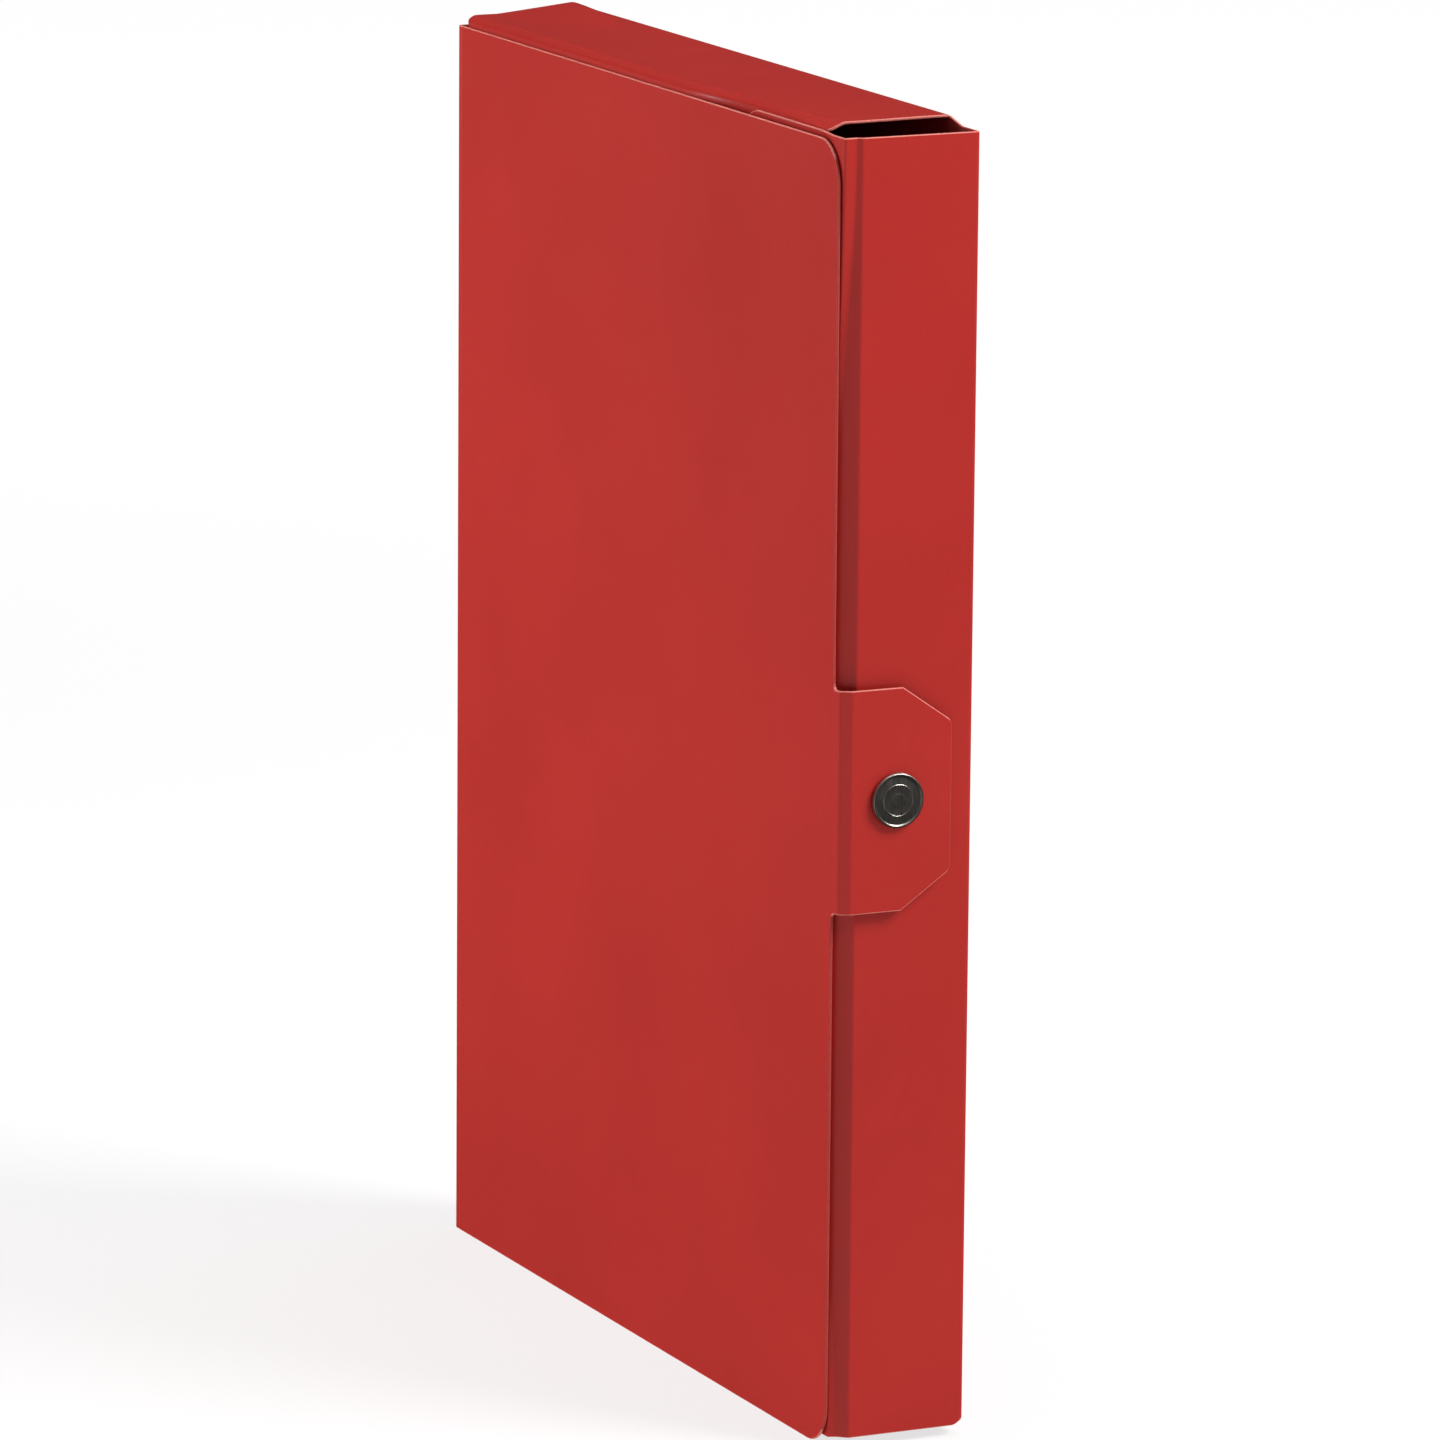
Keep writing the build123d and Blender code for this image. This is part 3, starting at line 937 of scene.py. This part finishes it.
def lathe(name, outline, material, segments=96):
    """Turns a closed outline of (x, radius) points about the press stud's axis."""
    bm = bmesh.new()
    rings = []
    for point in outline:
        if point.y < same_point:
            rings.append([bm.verts.new(stud_centre + X * point.x)])
            continue
        ring = []
        for k in range(segments):
            angle = 2 * math.pi * k / segments
            outward = Y * math.cos(angle) + Z * math.sin(angle)
            ring.append(bm.verts.new(stud_centre + X * point.x + outward * point.y))
        rings.append(ring)
    for ring, following in zip(rings, rings[1:] + rings[:1]):
        for k in range(segments):
            j = (k + 1) % segments
            if len(ring) == 1 and len(following) == 1:
                break
            if len(ring) == 1:
                bm.faces.new((ring[0], following[k], following[j]))
            elif len(following) == 1:
                bm.faces.new((ring[k], following[0], ring[j]))
            else:
                bm.faces.new((ring[k], following[k], following[j], ring[j]))
    return finish_mesh(name, bm, (material,), 35)


def half_section(base_x, *corners):
    """Outline of (height above base_x, radius, rounding) corners given in millimetres."""
    scaled = []
    for height, radius, rounding in corners:
        scaled.append((base_x + height * MM, radius * MM, rounding * MM))
    return rounded(scaled, 4)


def build_press_stud():
    tongue_inner = tongue_x - board
    wall_inner = fore_x - board
    cap = half_section(
        tongue_x,
        (1.46, 0, 0),
        (1.44, 1.7, 0.6),
        (1.38, 2.1, 0.4),
        (1.36, 4.0, 0.1),
        (1.42, 4.1, 0.05),
        (1.42, 4.3, 0.05),
        (1.34, 4.4, 0.1),
        (1.2, 6.2, 0.3),
        (1.18, 6.55, 0.15),
        (1.58, 6.75, 0.15),
        (1.58, 7.2, 0.3),
        (1.1, 7.45, 0.5),
        (0.25, 7.4, 0.2),
        (0.0, 7.15, 0.1),
        (0.0, 0, 0),
    )
    fix(lathe("snap_cap_disc", cap, cap_nickel), "tongue", "snap_metal", "snap_cap")
    socket = half_section(
        tongue_inner,
        (0, 0, 0),
        (0, 5.0, 0.1),
        (-1.2, 5.0, 0.35),
        (-1.5, 4.6, 0.2),
        (-1.5, 2.6, 0.12),
        (-1.25, 2.45, 0.08),
        (-0.6, 2.45, 0.1),
        (-0.6, 0, 0),
    )
    fix(lathe("snap_socket_ring", socket, fitting_nickel), "tongue", "snap_metal", "snap_socket")
    stud = half_section(
        fore_x,
        (0, 0, 0),
        (0, 4.6, 0.08),
        (0.25, 4.6, 0.12),
        (0.32, 2.2, 0.3),
        (0.35, 1.65, 0.15),
        (0.7, 1.65, 0.12),
        (0.9, 1.95, 0.12),
        (1.25, 1.95, 0.2),
        (1.4, 1.4, 0.25),
        (1.4, 0, 0),
    )
    fix(lathe("snap_stud_post", stud, fitting_nickel), "fore_wall", "snap_metal", "snap_stud")
    eyelet = half_section(
        wall_inner,
        (0, 0, 0),
        (0, 4.2, 0.08),
        (-0.3, 4.05, 0.15),
        (-0.38, 2.0, 0.4),
        (-0.22, 1.3, 0.15),
        (-0.22, 0, 0),
    )
    piece = lathe("snap_eyelet_back", eyelet, fitting_nickel)
    fix(piece, "fore_wall", "snap_metal", "snap_stud_eyelet")


def build_spring():
    """The socket's open ring of spring wire."""
    spring_low, spring_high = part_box("snap_ring_spring")
    wire = (spring_high.x - spring_low.x) / 2
    ring_radius = (spring_high.z - spring_low.z) / 2 - wire
    ring_x = (spring_low.x + spring_high.x) / 2
    bm = bmesh.new()
    sections = []
    for k in range(spring_steps + 1):
        angle = math.radians(spring_sweep * k / spring_steps)
        outward = Y * math.cos(angle) + Z * math.sin(angle)
        centre = stud_centre + X * ring_x + outward * ring_radius
        section = []
        for m in range(wire_sides):
            turn = 2 * math.pi * m / wire_sides
            side = outward * math.cos(turn) + X * math.sin(turn)
            section.append(bm.verts.new(centre + side * wire))
        sections.append(section)
    for section, following in zip(sections, sections[1:]):
        for m in range(wire_sides):
            n = (m + 1) % wire_sides
            bm.faces.new((section[m], following[m], following[n], section[n]))
    bm.faces.new(sections[0])
    bm.faces.new(sections[-1])
    spring = finish_mesh("snap_spring_wire", bm, (fitting_nickel,), 60)
    fix(spring, "tongue", "snap_metal", "snap_ring_spring")


# ---- Stage: floor, sky, softboxes, camera ----------------------------------------------
def build_floor():
    bpy.ops.mesh.primitive_plane_add(size=16, location=(0, 0, -0.3 * MM))
    floor = bpy.context.object
    floor.name = "floor"
    material, nodes, links, shader = new_material("pale_floor")
    shader.inputs["Base Color"].default_value = (0.25, 0.25, 0.25, 1)
    shader.inputs["Roughness"].default_value = 0.9
    shader.inputs["Specular IOR Level"].default_value = 0.1
    shader.inputs["Emission Color"].default_value = (1, 1, 1, 1)
    distance = nodes.new("ShaderNodeVectorMath")
    distance.operation = "LENGTH"
    links.new(nodes.new("ShaderNodeTexCoord").outputs["Object"], distance.inputs[0])
    glow = add_range(nodes, links, distance.outputs["Value"], 0.74, 0.92, 0.3, 1.8)
    links.new(glow, shader.inputs["Emission Strength"])
    floor.data.materials.append(material)
    floor.visible_glossy = False


def build_sky():
    """Dim at the horizon, brighter overhead, with a faint fill from the front corner."""
    world = bpy.data.worlds.new("studio")
    world.use_nodes = True
    bpy.context.scene.world = world
    nodes = world.node_tree.nodes
    links = world.node_tree.links
    direction = nodes.new("ShaderNodeTexCoord").outputs["Generated"]
    split = nodes.new("ShaderNodeSeparateXYZ")
    links.new(direction, split.inputs["Vector"])
    overhead = add_range(nodes, links, split.outputs["Z"], 0.04, 0.32, 0.35, 1.0)
    facing = nodes.new("ShaderNodeVectorMath")
    facing.operation = "DOT_PRODUCT"
    front = math.radians(-50)
    facing.inputs[1].default_value = (math.cos(front), math.sin(front), -0.25)
    links.new(direction, facing.inputs[0])
    fill = add_range(nodes, links, facing.outputs["Value"], 0, 0.42, 0.84, 0.97)
    level = nodes.new("ShaderNodeMath")
    level.operation = "ADD"
    links.new(overhead, level.inputs[0])
    links.new(fill, level.inputs[1])
    links.new(level.outputs["Value"], nodes["Background"].inputs["Strength"])
    nodes["Background"].inputs["Color"].default_value = (1, 1, 1, 1)


def softbox(name, azimuth, elevation, distance, size, power, spread=180, aim=None):
    """Area light aimed at aim or the box's middle; azimuth runs from +X towards +Y."""
    aim = aim or Vector((0, 0, body_height / 2))
    turn = math.radians(azimuth)
    rise = math.radians(elevation)
    level = Vector((math.cos(turn), math.sin(turn), 0))
    towards = level * math.cos(rise) + Z * math.sin(rise)
    light = bpy.data.lights.new(name, "AREA")
    light.shape = "RECTANGLE"
    light.size, light.size_y = size
    light.energy = power
    light.spread = math.radians(spread)
    lamp = bpy.data.objects.new(name, light)
    lamp.location = aim + towards * distance
    lamp.rotation_mode = "QUATERNION"
    lamp.rotation_quaternion = towards.to_track_quat("Z", "Y")
    bpy.context.scene.collection.objects.link(lamp)


def build_camera():
    yaw = math.radians(65.0375)
    pitch = math.radians(11.8014)
    roll = math.radians(0.4811)
    camera_data = bpy.data.cameras.new("camera")
    camera_data.lens = 233.33
    camera_data.sensor_width = 36.0
    camera_data.clip_start = 0.05
    camera = bpy.data.objects.new("camera", camera_data)
    aim = Matrix.Rotation(yaw, 4, "Z") @ Matrix.Rotation(math.pi / 2 - pitch, 4, "X")
    place = Matrix.Translation((2.2770, -1.0549, 0.6967))
    camera.matrix_world = place @ aim @ Matrix.Rotation(roll, 4, "Z")
    bpy.context.scene.collection.objects.link(camera)
    bpy.context.scene.camera = camera


build_back()
build_cover(build_spine())
build_tongue()
build_fore_edge()
for end_name, edge_z, inward in (("top", body_height, -Z), ("bottom", 0.0, Z)):
    build_end_wall(end_name, edge_z, inward)
    build_end_flap(end_name, edge_z, inward)
build_press_stud()
build_spring()
build_floor()
build_sky()
cover_aim = Vector((-0.04, cover_y, 0.12))
softbox("left_softbox", -121, 16, 1.6, (0.6, 0.5), 2.4, 60, cover_aim)
softbox("right_softbox", 45, 42, 2.2, (1.0, 1.0), 50)
softbox("top_softbox", 90, 86, 1.4, (0.9, 0.9), 6)
build_camera()
bpy.context.scene.view_settings.view_transform = "Standard"
